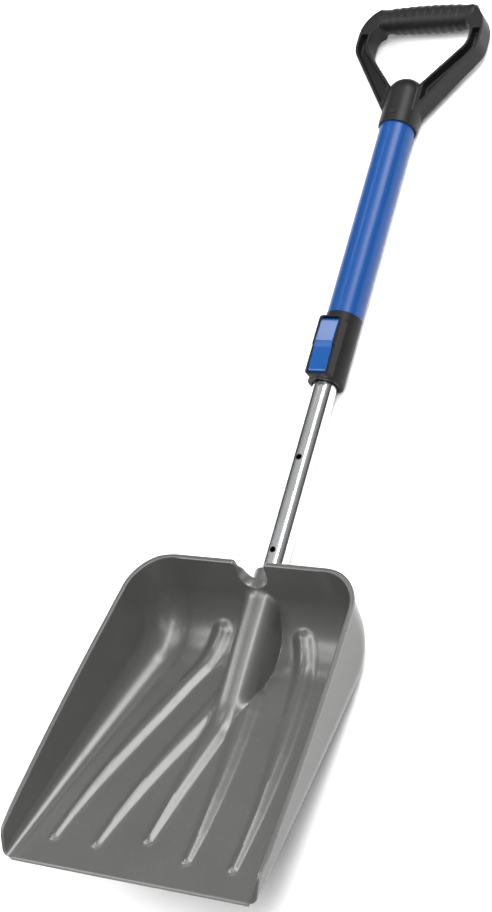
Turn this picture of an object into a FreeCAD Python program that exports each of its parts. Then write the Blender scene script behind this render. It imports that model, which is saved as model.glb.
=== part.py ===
import FreeCAD, Part
import math
import os

# Compact telescoping snow shovel, in millimetres, stored lying on its back.
#
# Row frame: the handle runs along +Y at a constant height, the scoop opens upwards (+Z), X is
# sideways, and the floor that the shovel lies on is z = 0. The origin is under the middle of
# its bounding box.
# Handle frame: the same directions, with the origin where the handle's axis meets the scoop's floor.
# Scoop frame: x sideways, y back from the leading edge, z up from the scoop's floor.

V = FreeCAD.Vector
X_AXIS = V(1, 0, 0)
Y_AXIS = V(0, 1, 0)
Z_AXIS = V(0, 0, 1)

# ---- driving dimensions ----------------------------------------------------------------------
# scoop
BLADE_LENGTH = 318.0        # leading edge to the inside of the back wall
FLOOR_HALF_FRONT = 133.0    # half width of the floor at the leading edge
FLOOR_HALF_BACK = 119.0     # half width of the floor at the back wall
FLARE_FRONT = 0.20          # side wall's lean outwards at the front, per unit of height
FLARE_BACK = 0.02           # the same at the back
SCOOP_WALL = 3.0
HEEL_R = 57.0               # inside radius from the floor up to the back wall
CORNER_R_FRONT = 4.0        # inside radius between floor and side wall at the front
CORNER_R_BACK = 44.0        # the same radius where it has grown to the back corner's top
BACK_HEIGHT = 97.7          # floor to rim at the back wall
NOSE_HEIGHT = 21.0          # floor to rim at the front end of the side wall
NOSE_SETBACK = 14.0         # how far the nose's top lies behind the leading edge
NOSE_R = 9.0
LIP_OUT = 2.0               # the rim's lip beyond the wall
LIP_HEIGHT = 5.0
NOTCH_R = 16.5              # half-round notch in the back rim
NOTCH_LAND = 3.0            # wall left between the notch and the socket boss
NOTCH_FLANGE = 9.0          # depth of the flange behind the notch

# raised ribs on the floor, hollow underneath
RIB_HEIGHT = 6.0
RIB_FRONT_HALF = 6.0        # half width at the front end
RIB_BACK_HALF = 11.0        # half width at the outer ribs' back end
RIB_SETBACK = 27.0          # leading edge to the front ends of the four side ribs
MIDDLE_RIB_SETBACK = 41.0
OUTER_RIB_X = 97.0          # rib's middle from the scoop's middle, at its front end
OUTER_RIB_END_X = 46.0      # the same at its back end
INNER_RIB_X = 49.0
RIB_END_MARGIN = 8.0        # outer ribs' back ends to the back wall

# handle
SHAFT_ANGLE = 26.1          # handle against the scoop's floor, degrees
BOSS_R = 19.5               # half-round boss that rises from the scoop's floor
COLLAR_R = 17.5
COLLAR_LENGTH = 35.0        # collar behind the back wall, along the axis
TUBE_START = 24.0           # lower tube's end, from the point where the axis meets the floor
LOWER_TUBE_R = 12.7
UPPER_TUBE_R = 19.05
TUBE_WALL = 1.2
FIRST_HOLE = 21.0           # collar's end to the first locking hole
HOLE_PITCH = 101.6
LOCK_HOLES = 3
LOCK_HOLE_R = 3.2
HOUSING_BELOW_PIN = 14.8    # lock pin to the housing's lower end
HOUSING_LENGTH = 78.0
SPIGOT_LENGTH = 20.0        # housing inside the upper tube
UPPER_VISIBLE = 232.0       # upper tube between housing and grip
GRIP_OVERLAP = 40.0         # upper tube inside the grip's socket
BUSH_LENGTH = 25.0
BUSH_CAP = 2.0
BUSH_GAP = 3.5              # pull-out stop: bush to spigot when fully extended

# lock
HOUSING_R = 19.0
BOX_HALF_WIDTH = 13.6       # housing's front box that holds the rocker
BOX_TOP = 22.4              # height of the box above the handle's axis
BOX_LENGTH = 68.0
BOX_CORNER_R = 4.0
BEZEL_HEIGHT = 2.6
BEZEL_STEP = 1.2            # the bezel's upper half stands this much higher
POCKET_FLOOR = 15.6         # height of the pocket's floor above the axis
ROCKER_LENGTH = 62.0
ROCKER_WIDTH = 20.4
ROCKER_CORNER_R = 3.0
ROCKER_GAP_SIDE = 0.3
ROCKER_GAP_END = 1.2
ROCKER_TOP = 26.4
ROCKER_RAISE = 1.3          # the rocker's upper half stands this much higher
ROCKER_TRAVEL = 8.0         # degrees
PIVOT_ABOVE_PIN = 19.7      # lock pin to pivot, along the handle
PIVOT_HEIGHT = 20.2
PIVOT_R = 1.5
PIVOT_COVER = 1.2           # housing wall outside each end of the pivot pin
LOCK_PIN_R = 3.0
PIN_DEPTH = 6.0             # lock pin inside the rocker
PIN_SWING = 0.8             # room round the lock pin, which swings with the rocker
SPRING_R = 2.6
SPRING_WIRE_R = 0.4
SPRING_TURNS = 4
SPRING_OFFSET = 21.0        # pivot to spring, along the handle
SPRING_SEAT_DEPTH = 0.8     # recess in the pocket's floor
SPRING_POCKET = 2.2         # recess in the rocker
LINER_LENGTH = 10.0
LINER_WALL = 1.5

# grip
GRIP_HALF_WIDTH = 75.0
GRIP_RISE = 145.0           # socket's lower end to the bar's centre line
GRIP_SOCKET_WALL = 2.4
GRIP_RIVET_RISE = 12.0      # socket's lower end to the rivet
GRIP_DEPTH = 24.0
ARM_FOOT_X = 6.3            # where the arm's outer line would meet the socket's lower end
ARM_SLOPE = 1.453           # the outer line's rise per unit of width
INNER_HALF_WIDTH = 60.5
INNER_SLOPE = 1.207
CROTCH_RISE = 46.7          # height of the hand hole's lower corners above the socket's end
CROTCH_HALF_WIDTH = 14.0
SHOULDER_R = 26.0           # outer outline where the arm turns up
TOP_CORNER_R = 38.0         # outer outline at the bar
HOLE_SHOULDER_R = 18.0      # the same for the hand hole
HOLE_TOP_R = 13.0
ARM_FLANGE = 3.0
ARM_WEB = 3.0
CHANNEL_START = 21.0        # socket's lower end to the start of the arms' channels
CHANNEL_END = 23.0          # the channels' end below the bar's centre line
BAR_R = 15.5
BAR_END_R = 13.2
BAR_HALF_LENGTH = 52.0
BAR_RINGS = 9
BAR_RING_PITCH = 9.6
BAR_RING_HEIGHT = 0.6

# clearances
TIGHT = 0.05                # radial, between pieces fixed together
RUNNING = 0.08              # radial, where one piece slides or turns in another
PIN_GAP = 0.3               # lock pin's tip above the tube that it is drawn clear of
HOUSING_GAP = 0.3           # radial, between the housing and the lower tube

# fasteners
SCREW_R = 2.0
SCREW_HEAD_R = 3.8
SCREW_HEAD = 2.2
SCREW_LENGTH = 8.0
SCREW_PLACES = (8.0, 20.0)  # collar's end to the scoop's two screws
RIVET_HEAD = 1.2

# ---- places that follow ----------------------------------------------------------------------
SLOPE = math.radians(SHAFT_ANGLE)
REST_HEIGHT = UPPER_TUBE_R + TIGHT + GRIP_SOCKET_WALL
HEEL_Y = BLADE_LENGTH - HEEL_R
HEEL_OUTER_R = HEEL_R + SCOOP_WALL
# The axis meets the floor where the heel and the grip's socket both touch the ground.
FOOT_Y = HEEL_Y - (HEEL_R * math.cos(SLOPE) - HEEL_OUTER_R + REST_HEIGHT) / math.sin(SLOPE)

WALL_T = (BLADE_LENGTH - FOOT_Y) / math.cos(SLOPE)
COLLAR_END = WALL_T + COLLAR_LENGTH
HOLE_T = [COLLAR_END + FIRST_HOLE + i * HOLE_PITCH for i in range(LOCK_HOLES)]
PIN_T = HOLE_T[-1]
HOUSING_T = PIN_T - HOUSING_BELOW_PIN
UPPER_T = HOUSING_T + HOUSING_LENGTH
SPIGOT_T = UPPER_T + SPIGOT_LENGTH
BUSH_T = SPIGOT_T + BUSH_GAP
BUSH_END = BUSH_T + BUSH_LENGTH
LOWER_END = BUSH_END - BUSH_CAP
GRIP_T = UPPER_T + UPPER_VISIBLE
UPPER_END = GRIP_T + GRIP_OVERLAP
BAR_T = GRIP_T + GRIP_RISE
PIVOT_T = PIN_T + PIVOT_ABOVE_PIN
SPRING_T = PIVOT_T + SPRING_OFFSET
SCREW_T = [COLLAR_END - place for place in SCREW_PLACES]
BUSH_PIN_T = (BUSH_T + LOWER_END) / 2
HOUSING_RIVET_T = UPPER_T + SPIGOT_LENGTH / 2
GRIP_RIVET_T = GRIP_T + GRIP_RIVET_RISE
POCKET_LENGTH = ROCKER_LENGTH + 2 * ROCKER_GAP_END
POCKET_WIDTH = ROCKER_WIDTH + 2 * ROCKER_GAP_SIDE
BOX_T = PIVOT_T - BOX_LENGTH / 2
UPPER_BORE_R = UPPER_TUBE_R - TUBE_WALL
LOWER_BORE_R = LOWER_TUBE_R - TUBE_WALL
GRIP_SOCKET_R = REST_HEIGHT

FRONT_T = -(FOOT_Y * math.cos(SLOPE) + SCOOP_WALL * math.sin(SLOPE))
MIDDLE_T = (FRONT_T + BAR_T + BAR_R) / 2


# ---- helpers ---------------------------------------------------------------------------------
def cylinder(radius, start, direction, length):
    return Part.makeCylinder(radius, length, start, direction)


def along_handle(radius, t_start, t_end):
    """Cylinder on the handle's axis."""
    return cylinder(radius, V(0, t_start, 0), Y_AXIS, t_end - t_start)


def sleeve(outer_r, inner_r, t_start, t_end):
    return along_handle(outer_r, t_start, t_end).cut(along_handle(inner_r, t_start - 1, t_end + 1))


def block(x_half, y_low, y_high, z_low, z_high):
    """Box that is centred on x = 0."""
    return Part.makeBox(2 * x_half, y_high - y_low, z_high - z_low, V(-x_half, y_low, z_low))


def rounded_block(x_half, y_low, y_high, z_low, z_high, radius):
    """The same box with its upright edges rounded."""
    box = block(x_half, y_low, y_high, z_low, z_high)
    upright = [edge for edge in box.Edges if edge.BoundBox.ZLength > z_high - z_low - 1e-6]
    return box.makeFillet(radius, upright)


def rounded_wire(corners, radii):
    """Closed wire through the corners, each rounded by a tangent arc of its radius."""
    edges = []
    joints = []
    for i, corner in enumerate(corners):
        back = (corners[i - 1] - corner).normalize()
        ahead = (corners[(i + 1) % len(corners)] - corner).normalize()
        half = back.getAngle(ahead) / 2
        reach = radii[i] / math.tan(half)
        middle = (back + ahead).normalize()
        top = corner + middle * (radii[i] / math.sin(half) - radii[i])
        joints.append((corner + back * reach, top, corner + ahead * reach, radii[i]))
    for i, (start, top, end, radius) in enumerate(joints):
        if radius > 0:
            edges.append(Part.Arc(start, top, end).toShape())
        following = joints[(i + 1) % len(joints)][0]
        if end.distanceToPoint(following) > 1e-6:
            edges.append(Part.makeLine(end, following))
    return Part.Wire(edges)


def solid_of(shape):
    """The one clean solid in a boolean's result."""
    tidy = shape.removeSplitter()
    return max(tidy.Solids, key=lambda solid: solid.Volume)


def to_handle_frame(shape):
    """Moves a shape from the scoop frame to the handle frame."""
    moved = shape.copy()
    moved.translate(V(0, -FOOT_Y, 0))
    moved.rotate(V(0, 0, 0), X_AXIS, -SHAFT_ANGLE)
    return moved


def seated_head(t, side, seat_r, height):
    """Fastener's round head, shaped to the round surface that it sits on; side is 1 in front, -1 behind."""
    sunk = seat_r - math.sqrt(seat_r ** 2 - SCREW_HEAD_R ** 2)
    head = cylinder(SCREW_HEAD_R, V(0, t, side * (seat_r - sunk)), Z_AXIS * side, sunk + height)
    rim = [edge for edge in head.Edges if edge.Closed and abs(edge.CenterOfMass.z) > seat_r]
    head = head.makeFillet(height * 0.45, rim)
    return head.cut(along_handle(seat_r + TIGHT, t - 2 * SCREW_HEAD_R, t + 2 * SCREW_HEAD_R))


def shank(t, side, inner_r, outer_r):
    """Fastener's shank across the handle, between two distances from its axis."""
    return cylinder(SCREW_R, V(0, t, side * inner_r), Z_AXIS * side, outer_r - inner_r)


def shank_hole(t, side, outer_r):
    """Hole for a shank, from the handle's axis outwards."""
    return cylinder(SCREW_R + TIGHT, V(0, t, 0), Z_AXIS * side, outer_r + 1)


# ---- scoop -----------------------------------------------------------------------------------
def half_width(y, z, grow):
    """Half width of the space between the side walls, grown by a wall."""
    share = y / BLADE_LENGTH
    floor = FLOOR_HALF_FRONT + (FLOOR_HALF_BACK - FLOOR_HALF_FRONT) * share
    flare = FLARE_FRONT + (FLARE_BACK - FLARE_FRONT) * share
    return floor + flare * z + grow


def scoop_form(grow):
    """The scoop's inner space, grown by grow on every side: floor, heel, back and side walls."""
    front = -40.0
    top = BACK_HEIGHT + 40.0
    heel_bottom = V(0, HEEL_Y, -grow)
    heel_back = V(0, BLADE_LENGTH + grow, HEEL_R)
    turn = math.sqrt(0.5) * (HEEL_R + grow)
    heel_middle = V(0, HEEL_Y + turn, HEEL_R - turn)
    corners = [V(0, BLADE_LENGTH + grow, top), V(0, front, top), V(0, front, -grow), heel_bottom]
    side = [Part.Arc(heel_bottom, heel_middle, heel_back).toShape(),
            Part.makeLine(heel_back, corners[0])]
    side += [Part.makeLine(a, b) for a, b in zip(corners, corners[1:])]
    half = Part.Face(Part.Wire(side)).extrude(V(FLOOR_HALF_FRONT + 100, 0, 0))

    levels = []
    back = BLADE_LENGTH + grow + 20
    for z in (-grow - 20, top + 20):
        outline = [V(0, front - 20, z), V(half_width(front - 20, z, grow), front - 20, z),
                   V(half_width(back, z, grow), back, z), V(0, back, z)]
        levels.append(Part.makePolygon(outline + outline[:1]))
    half = solid_of(half.common(Part.makeLoft(levels, True, True)))

    def on_corner(point):
        return abs(point.x - half_width(point.y, point.z, grow)) < 0.05
    floor_edge = [edge for edge in half.Edges
                  if all(on_corner(v.Point) and abs(v.Z + grow) < 0.05 for v in edge.Vertexes)]
    half = half.makeFillet(CORNER_R_BACK + grow, CORNER_R_FRONT + grow, floor_edge)
    return solid_of(half.fuse(half.mirror(V(0, 0, 0), X_AXIS)))


def rim_profile(lower):
    """What lies under the rim line, which is lowered by lower; it spans the scoop's width."""
    rise = (BACK_HEIGHT - NOSE_HEIGHT) / (BLADE_LENGTH - NOSE_SETBACK)
    behind = 60.0
    corners = [V(0, 0, -lower), V(0, NOSE_SETBACK, NOSE_HEIGHT - lower),
               V(0, BLADE_LENGTH + behind, BACK_HEIGHT + rise * behind - lower),
               V(0, BLADE_LENGTH + behind, -60), V(0, 0, -60)]
    face = Part.Face(rounded_wire(corners, [0, NOSE_R, 0, 0, 0]))
    span = FLOOR_HALF_FRONT + 100
    face.translate(V(-span, 0, 0))
    return face.extrude(V(2 * span, 0, 0))


def floor_slab(below, above):
    """Layer that follows the floor and the heel, from below its surface to above it."""
    edges = []
    for offset in (below, -above):
        radius = HEEL_R + offset
        turn = math.sqrt(0.5) * radius
        low = V(0, HEEL_Y, -offset)
        high = V(0, HEEL_Y + radius, HEEL_R)
        edges.append(Part.Arc(low, V(0, HEEL_Y + turn, HEEL_R - turn), high).toShape())
        edges.append(Part.makeLine(V(0, 0, -offset), low))
    edges.append(Part.makeLine(V(0, 0, -below), V(0, 0, above)))
    edges.append(Part.makeLine(V(0, HEEL_Y + HEEL_R + below, HEEL_R), V(0, HEEL_Y + HEEL_R - above, HEEL_R)))
    face = Part.Face(Part.Wire(Part.sortEdges(edges)[0]))
    span = FLOOR_HALF_FRONT + 100
    face.translate(V(-span, 0, 0))
    return face.extrude(V(2 * span, 0, 0))


def rib_strip(path, inset):
    """Upright prism on a rib's plan; path holds (x, y, half width), inset takes the wall off."""
    right = [V(x + half - inset, y, -60) for x, y, half in path]
    left = [V(x - half + inset, y, -60) for x, y, half in path]
    right[0].y = left[0].y = path[0][1] + inset
    right[-1].y = left[-1].y = path[-1][1] - inset
    bend = 40.0
    ends = [(path[0][2] - inset) * 0.8, (path[-1][2] - inset) * 0.8]
    radii = [ends[0]] + [bend] * (len(path) - 2) + [ends[1]]
    face = Part.Face(rounded_wire(right + left[::-1], radii + radii[::-1]))
    return face.extrude(V(0, 0, 200))


def rib_paths():
    """Plans of the ribs: two outer ones climb the heel, three others run into the boss."""
    boss_foot = FOOT_Y - BOSS_R / math.sin(SLOPE)
    outer_end = BLADE_LENGTH - RIB_END_MARGIN
    widen = RIB_BACK_HALF - RIB_FRONT_HALF
    outer = []
    for share, inward in ((0, 0), (0.25, 0.13), (0.5, 0.36), (0.75, 0.64), (1, 1)):
        x = OUTER_RIB_X + (OUTER_RIB_END_X - OUTER_RIB_X) * inward
        outer.append((x, RIB_SETBACK + (outer_end - RIB_SETBACK) * share, RIB_FRONT_HALF + widen * share))
    inner = []
    for share, inward in ((0, 0), (0.35, 0.16), (0.7, 0.45), (1, 0.8)):
        y = RIB_SETBACK + (boss_foot + 25 - RIB_SETBACK) * share
        inner.append((INNER_RIB_X * (1 - inward), y, RIB_FRONT_HALF + widen * share * 0.5))
    middle = [(0, MIDDLE_RIB_SETBACK, RIB_FRONT_HALF), (0, boss_foot + 15, RIB_FRONT_HALF + widen * 0.5)]
    mirrored = [[(-x, y, half) for x, y, half in path] for path in (outer, inner)]
    return [middle, outer, inner] + mirrored


def add_ribs(shell):
    """Raises the ribs inside the scoop and hollows them from underneath."""
    raised = floor_slab(SCOOP_WALL / 2, RIB_HEIGHT)
    hollow = floor_slab(SCOOP_WALL * 2, RIB_HEIGHT - SCOOP_WALL)
    for path in rib_paths():
        shell = shell.fuse(rib_strip(path, 0).common(raised))
    for path in rib_paths():
        shell = shell.cut(rib_strip(path, SCOOP_WALL).common(hollow))
    return shell


def notch(grow, depth):
    """Half-round notch through the back rim, as a solid, grown by grow."""
    radius = NOTCH_R + grow
    boss_top = WALL_T * math.sin(SLOPE) + BOSS_R / math.cos(SLOPE)
    centre_z = boss_top + NOTCH_LAND + NOTCH_R
    start = BLADE_LENGTH - 1
    tool = cylinder(radius, V(0, start, centre_z), Y_AXIS, depth)
    return tool.fuse(block(radius, start, start + depth, centre_z, centre_z + 80))


def scoop():
    """Moulded scoop with its ribs, rim lip, notch, socket boss and rear collar."""
    inner = scoop_form(0)
    outer = scoop_form(SCOOP_WALL)
    under_rim = rim_profile(0)
    shell = add_ribs(outer.cut(inner))
    lip = scoop_form(SCOOP_WALL + LIP_OUT).cut(inner).cut(rim_profile(LIP_HEIGHT))
    flange = notch(SCOOP_WALL, SCOOP_WALL + NOTCH_FLANGE).cut(inner)
    shell = shell.fuse([lip, flange]).cut(notch(0, SCOOP_WALL + NOTCH_FLANGE + 10)).common(under_rim)

    shell = to_handle_frame(shell)
    form = to_handle_frame(outer)
    boss = along_handle(BOSS_R, -BOSS_R * 3, WALL_T + BOSS_R).common(form)
    collar = along_handle(COLLAR_R, WALL_T - BOSS_R, COLLAR_END)
    body = shell.fuse([boss, collar])
    hollow = along_handle(BOSS_R - SCOOP_WALL, -BOSS_R * 4, TUBE_START - SCOOP_WALL)
    body = body.cut([hollow, along_handle(LOWER_TUBE_R + TIGHT, TUBE_START, COLLAR_END + 1)])
    body = body.cut([shank_hole(t, -1, COLLAR_R) for t in SCREW_T])
    return solid_of(body)


def scoop_screw(t):
    """Screw from behind, through the collar and the tube's wall."""
    head = seated_head(t, -1, COLLAR_R, SCREW_HEAD)
    return solid_of(head.fuse(shank(t, -1, COLLAR_R - SCREW_LENGTH, COLLAR_R + SCREW_HEAD / 2)))


# ---- tubes and bushes ------------------------------------------------------------------------
def lower_tube():
    """Bright aluminium tube with the locking holes towards the front."""
    tube = sleeve(LOWER_TUBE_R, LOWER_BORE_R, TUBE_START + TIGHT, LOWER_END - TIGHT)
    for t in HOLE_T:
        tube = tube.cut(cylinder(LOCK_HOLE_R, V(0, t, 0), Z_AXIS, LOWER_TUBE_R + 1))
    tube = tube.cut([shank_hole(t, -1, LOWER_TUBE_R) for t in SCREW_T])
    return solid_of(tube.cut(cross_hole()))


def cross_hole():
    """Hole for the bush's pin, right through."""
    return cylinder(SCREW_R + TIGHT, V(-UPPER_TUBE_R, BUSH_PIN_T, 0), X_AXIS, 2 * UPPER_TUBE_R)


def guide_bush():
    """Capped plastic bush on the lower tube's end, which centres it in the upper tube."""
    body = along_handle(UPPER_BORE_R - RUNNING, BUSH_T, BUSH_END)
    body = body.cut(along_handle(LOWER_TUBE_R + TIGHT, BUSH_T - 1, LOWER_END))
    return solid_of(body.cut(cross_hole()))


def bush_pin():
    """Cross pin that holds the guide bush on the lower tube."""
    half = UPPER_BORE_R - 0.6
    return cylinder(SCREW_R, V(-half, BUSH_PIN_T, 0), X_AXIS, 2 * half)


def upper_tube():
    """Painted tube between the lock housing and the grip."""
    tube = sleeve(UPPER_TUBE_R, UPPER_BORE_R, UPPER_T + TIGHT, UPPER_END)
    return solid_of(tube.cut([shank_hole(HOUSING_RIVET_T, -1, UPPER_TUBE_R),
                              shank_hole(GRIP_RIVET_T, 1, UPPER_TUBE_R)]))


def guide_liner():
    """Low-friction sleeve in the housing's lower end, round the lower tube."""
    bore = LOWER_TUBE_R + RUNNING
    return solid_of(sleeve(bore + LINER_WALL, bore, HOUSING_T + 1, HOUSING_T + 1 + LINER_LENGTH))


# ---- lock ------------------------------------------------------------------------------------
def pocket(half, z_low, z_high, reach):
    """Space round the rocker, as a block."""
    corner_r = ROCKER_CORNER_R + ROCKER_GAP_SIDE
    return rounded_block(half, PIVOT_T - reach, PIVOT_T + reach, z_low, z_high, corner_r)


def lock_housing():
    """Moulded body: round back, front box with the rocker's pocket, spigot into the upper tube."""
    body = along_handle(HOUSING_R, HOUSING_T, UPPER_T)
    box = rounded_block(BOX_HALF_WIDTH, BOX_T, BOX_T + BOX_LENGTH, 0, BOX_TOP, BOX_CORNER_R)
    spigot = along_handle(UPPER_BORE_R - TIGHT, UPPER_T, SPIGOT_T)
    body = body.fuse([box, spigot])
    liner_r = LOWER_TUBE_R + RUNNING + LINER_WALL + TIGHT
    body = body.cut([along_handle(LOWER_TUBE_R + HOUSING_GAP, HOUSING_T - 1, SPIGOT_T + 1),
                     along_handle(liner_r, HOUSING_T - 1, HOUSING_T + 1 + LINER_LENGTH + TIGHT)])
    body = body.cut(pocket(POCKET_WIDTH / 2, POCKET_FLOOR, BOX_TOP + 1, POCKET_LENGTH / 2))
    body = body.cut(cylinder(LOCK_PIN_R + PIN_SWING, V(0, PIN_T, 0), Z_AXIS, BOX_TOP))
    seat = POCKET_FLOOR - SPRING_SEAT_DEPTH
    body = body.cut(cylinder(SPRING_R + SPRING_WIRE_R + 0.3, V(0, SPRING_T, seat), Z_AXIS, 5))
    half = BOX_HALF_WIDTH - PIVOT_COVER + TIGHT
    groove_r = PIVOT_R + TIGHT
    body = body.cut([cylinder(groove_r, V(-half, PIVOT_T, PIVOT_HEIGHT), X_AXIS, 2 * half),
                     block(half, PIVOT_T - groove_r, PIVOT_T + groove_r, PIVOT_HEIGHT, BOX_TOP + 1)])
    return solid_of(body.cut(shank_hole(HOUSING_RIVET_T, -1, UPPER_TUBE_R)))


def lock_bezel():
    """Frame on the housing's front box, with a step half way up."""
    low_top = BOX_TOP + BEZEL_HEIGHT
    low = block(BOX_HALF_WIDTH, BOX_T, BOX_T + BOX_LENGTH, BOX_TOP, low_top)
    high = block(BOX_HALF_WIDTH, PIVOT_T, BOX_T + BOX_LENGTH, BOX_TOP, low_top + BEZEL_STEP)
    outline = rounded_block(BOX_HALF_WIDTH, BOX_T, BOX_T + BOX_LENGTH, BOX_TOP, 2 * BOX_TOP, BOX_CORNER_R)
    body = low.fuse(high).common(outline)
    return solid_of(body.cut(pocket(POCKET_WIDTH / 2, BOX_TOP - 1, 2 * BOX_TOP, POCKET_LENGTH / 2)))


def rocker_pivot_pin():
    """Pin that drops into two grooves in the housing, where the bezel keeps it."""
    half = BOX_HALF_WIDTH - PIVOT_COVER
    return cylinder(PIVOT_R, V(-half, PIVOT_T, PIVOT_HEIGHT), X_AXIS, 2 * half)


def release_rocker():
    """Blue rocker: its raised upper half is pressed, which lifts the pin at its lower end."""
    reach = ROCKER_LENGTH / 2
    swing = math.sin(math.radians(ROCKER_TRAVEL))
    upper_bottom = POCKET_FLOOR + reach * swing + 0.5
    profile = [V(0, -reach, POCKET_FLOOR + 0.8), V(0, 0, POCKET_FLOOR + 0.8),
               V(0, reach, upper_bottom), V(0, reach, ROCKER_TOP + ROCKER_RAISE - 1.2),
               V(0, reach * 0.1, ROCKER_TOP + ROCKER_RAISE), V(0, -reach * 0.12, ROCKER_TOP),
               V(0, -reach, ROCKER_TOP - 1.4)]
    face = Part.Face(rounded_wire(profile, [1, 12, 1, 4, 3, 3, 3]))
    face.translate(V(-ROCKER_WIDTH / 2, PIVOT_T, 0))
    plan = rounded_block(ROCKER_WIDTH / 2, PIVOT_T - reach, PIVOT_T + reach, 0, 2 * ROCKER_TOP,
                         ROCKER_CORNER_R)
    body = face.extrude(V(ROCKER_WIDTH, 0, 0)).common(plan)
    body = body.cut(cylinder(PIVOT_R + RUNNING, V(-ROCKER_WIDTH, PIVOT_T, PIVOT_HEIGHT), X_AXIS,
                             2 * ROCKER_WIDTH))
    body = body.cut(cylinder(LOCK_PIN_R + TIGHT, V(0, PIN_T, POCKET_FLOOR), Z_AXIS, PIN_DEPTH))
    body = body.cut(cylinder(SPRING_R + SPRING_WIRE_R + 0.4, V(0, SPRING_T, POCKET_FLOOR - 1), Z_AXIS,
                             spring_top() - POCKET_FLOOR + 1))
    return solid_of(body)


def spring_top():
    """Height of the recess in the rocker that the spring pushes on."""
    swing = math.sin(math.radians(ROCKER_TRAVEL))
    return POCKET_FLOOR + SPRING_OFFSET * swing + SPRING_POCKET + 1.2


def lock_pin():
    """Steel pin pressed into the rocker's lower end, drawn just clear of the tube."""
    tip = LOWER_TUBE_R + PIN_GAP
    length = POCKET_FLOOR + PIN_DEPTH - TIGHT - tip
    body = cylinder(LOCK_PIN_R, V(0, PIN_T, tip), Z_AXIS, length)
    rim = [edge for edge in body.Edges if edge.Closed and abs(edge.CenterOfMass.z - tip) < 1e-6]
    return body.makeFillet(0.8, rim)


def return_spring():
    """Compression spring between the housing and the rocker's upper half."""
    low = POCKET_FLOOR - SPRING_SEAT_DEPTH + SPRING_WIRE_R + TIGHT
    high = spring_top() - SPRING_WIRE_R - TIGHT
    helix = Part.makeHelix((high - low) / SPRING_TURNS, high - low, SPRING_R)
    section = Part.Wire(Part.makeCircle(SPRING_WIRE_R, V(SPRING_R, 0, 0), Y_AXIS))
    coil = Part.Wire(helix.Edges).makePipeShell([section], True, True)
    coil.translate(V(0, SPRING_T, low))
    return coil


def housing_rivet():
    """Rivet from behind, through the upper tube and the housing's spigot."""
    head = seated_head(HOUSING_RIVET_T, -1, UPPER_TUBE_R, RIVET_HEAD)
    return solid_of(head.fuse(shank(HOUSING_RIVET_T, -1, LOWER_TUBE_R + 1, UPPER_TUBE_R + RIVET_HEAD / 2)))


# ---- grip ------------------------------------------------------------------------------------
def grip_outline():
    """Outer outline of the D, in the plane of the grip."""
    top = BAR_T + BAR_END_R + 0.8
    low = GRIP_T + 10.0
    low_x = ARM_FOOT_X + 10.0 / ARM_SLOPE
    shoulder = GRIP_T + (GRIP_HALF_WIDTH - ARM_FOOT_X) * ARM_SLOPE
    corners = [V(low_x, low, 0), V(GRIP_HALF_WIDTH, shoulder, 0), V(GRIP_HALF_WIDTH, top, 0)]
    corners += [V(-p.x, p.y, 0) for p in reversed(corners)]
    return corners, [0, SHOULDER_R, TOP_CORNER_R, TOP_CORNER_R, SHOULDER_R, 0]


def hand_hole():
    """Outline of the hole for the fingers."""
    low = GRIP_T + CROTCH_RISE
    shoulder = low + (INNER_HALF_WIDTH - CROTCH_HALF_WIDTH) * INNER_SLOPE
    top = BAR_T - BAR_END_R - 0.6
    corners = [V(CROTCH_HALF_WIDTH, low, 0), V(INNER_HALF_WIDTH, shoulder, 0),
               V(INNER_HALF_WIDTH, top, 0)]
    corners += [V(-p.x, p.y, 0) for p in reversed(corners)]
    return corners, [0, HOLE_SHOULDER_R, HOLE_TOP_R, HOLE_TOP_R, HOLE_SHOULDER_R, 0]


def arm_pocket(side, face_side):
    """Open channel in one arm, from the front face (face_side 1) or the back face (-1)."""
    outer = Part.Face(rounded_wire(*grip_outline())).makeOffset2D(-ARM_FLANGE)
    inner = Part.Face(rounded_wire(*hand_hole())).makeOffset2D(ARM_FLANGE)
    plan = outer.cut(inner)
    depth = (GRIP_DEPTH - ARM_WEB) / 2 + 1
    low_z = ARM_WEB / 2 if face_side > 0 else -ARM_WEB / 2 - depth
    plan.translate(V(0, 0, low_z))
    channel = plan.extrude(V(0, 0, depth))
    near_x = GRIP_SOCKET_R + 1
    keep = Part.makeBox(GRIP_HALF_WIDTH, GRIP_RISE - CHANNEL_END - CHANNEL_START, 2 * GRIP_DEPTH,
                        V(near_x if side > 0 else -GRIP_HALF_WIDTH - near_x,
                          GRIP_T + CHANNEL_START, -GRIP_DEPTH))
    return channel.common(keep)


def grip_bar():
    """Barrel-shaped hand bar with ring ridges."""
    left = V(-BAR_HALF_LENGTH - 6, BAR_T, 0)
    start = V(left.x, BAR_T + BAR_END_R, 0)
    end = V(-left.x, BAR_T + BAR_END_R, 0)
    edges = [Part.makeLine(left, start), Part.Arc(start, V(0, BAR_T + BAR_R, 0), end).toShape(),
             Part.makeLine(end, V(end.x, BAR_T, 0)), Part.makeLine(V(end.x, BAR_T, 0), left)]
    bar = Part.Face(Part.Wire(edges)).revolve(V(0, BAR_T, 0), X_AXIS, 360)
    ridges = []
    for i in range(BAR_RINGS):
        x = (i - (BAR_RINGS - 1) / 2) * BAR_RING_PITCH
        surface = BAR_R - (BAR_R - BAR_END_R) * (x / end.x) ** 2 - 0.4
        tube_r = BAR_RING_HEIGHT * 2
        ridges.append(Part.makeTorus(surface + BAR_RING_HEIGHT - tube_r, tube_r, V(x, BAR_T, 0), X_AXIS))
    return bar.fuse(ridges)


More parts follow.
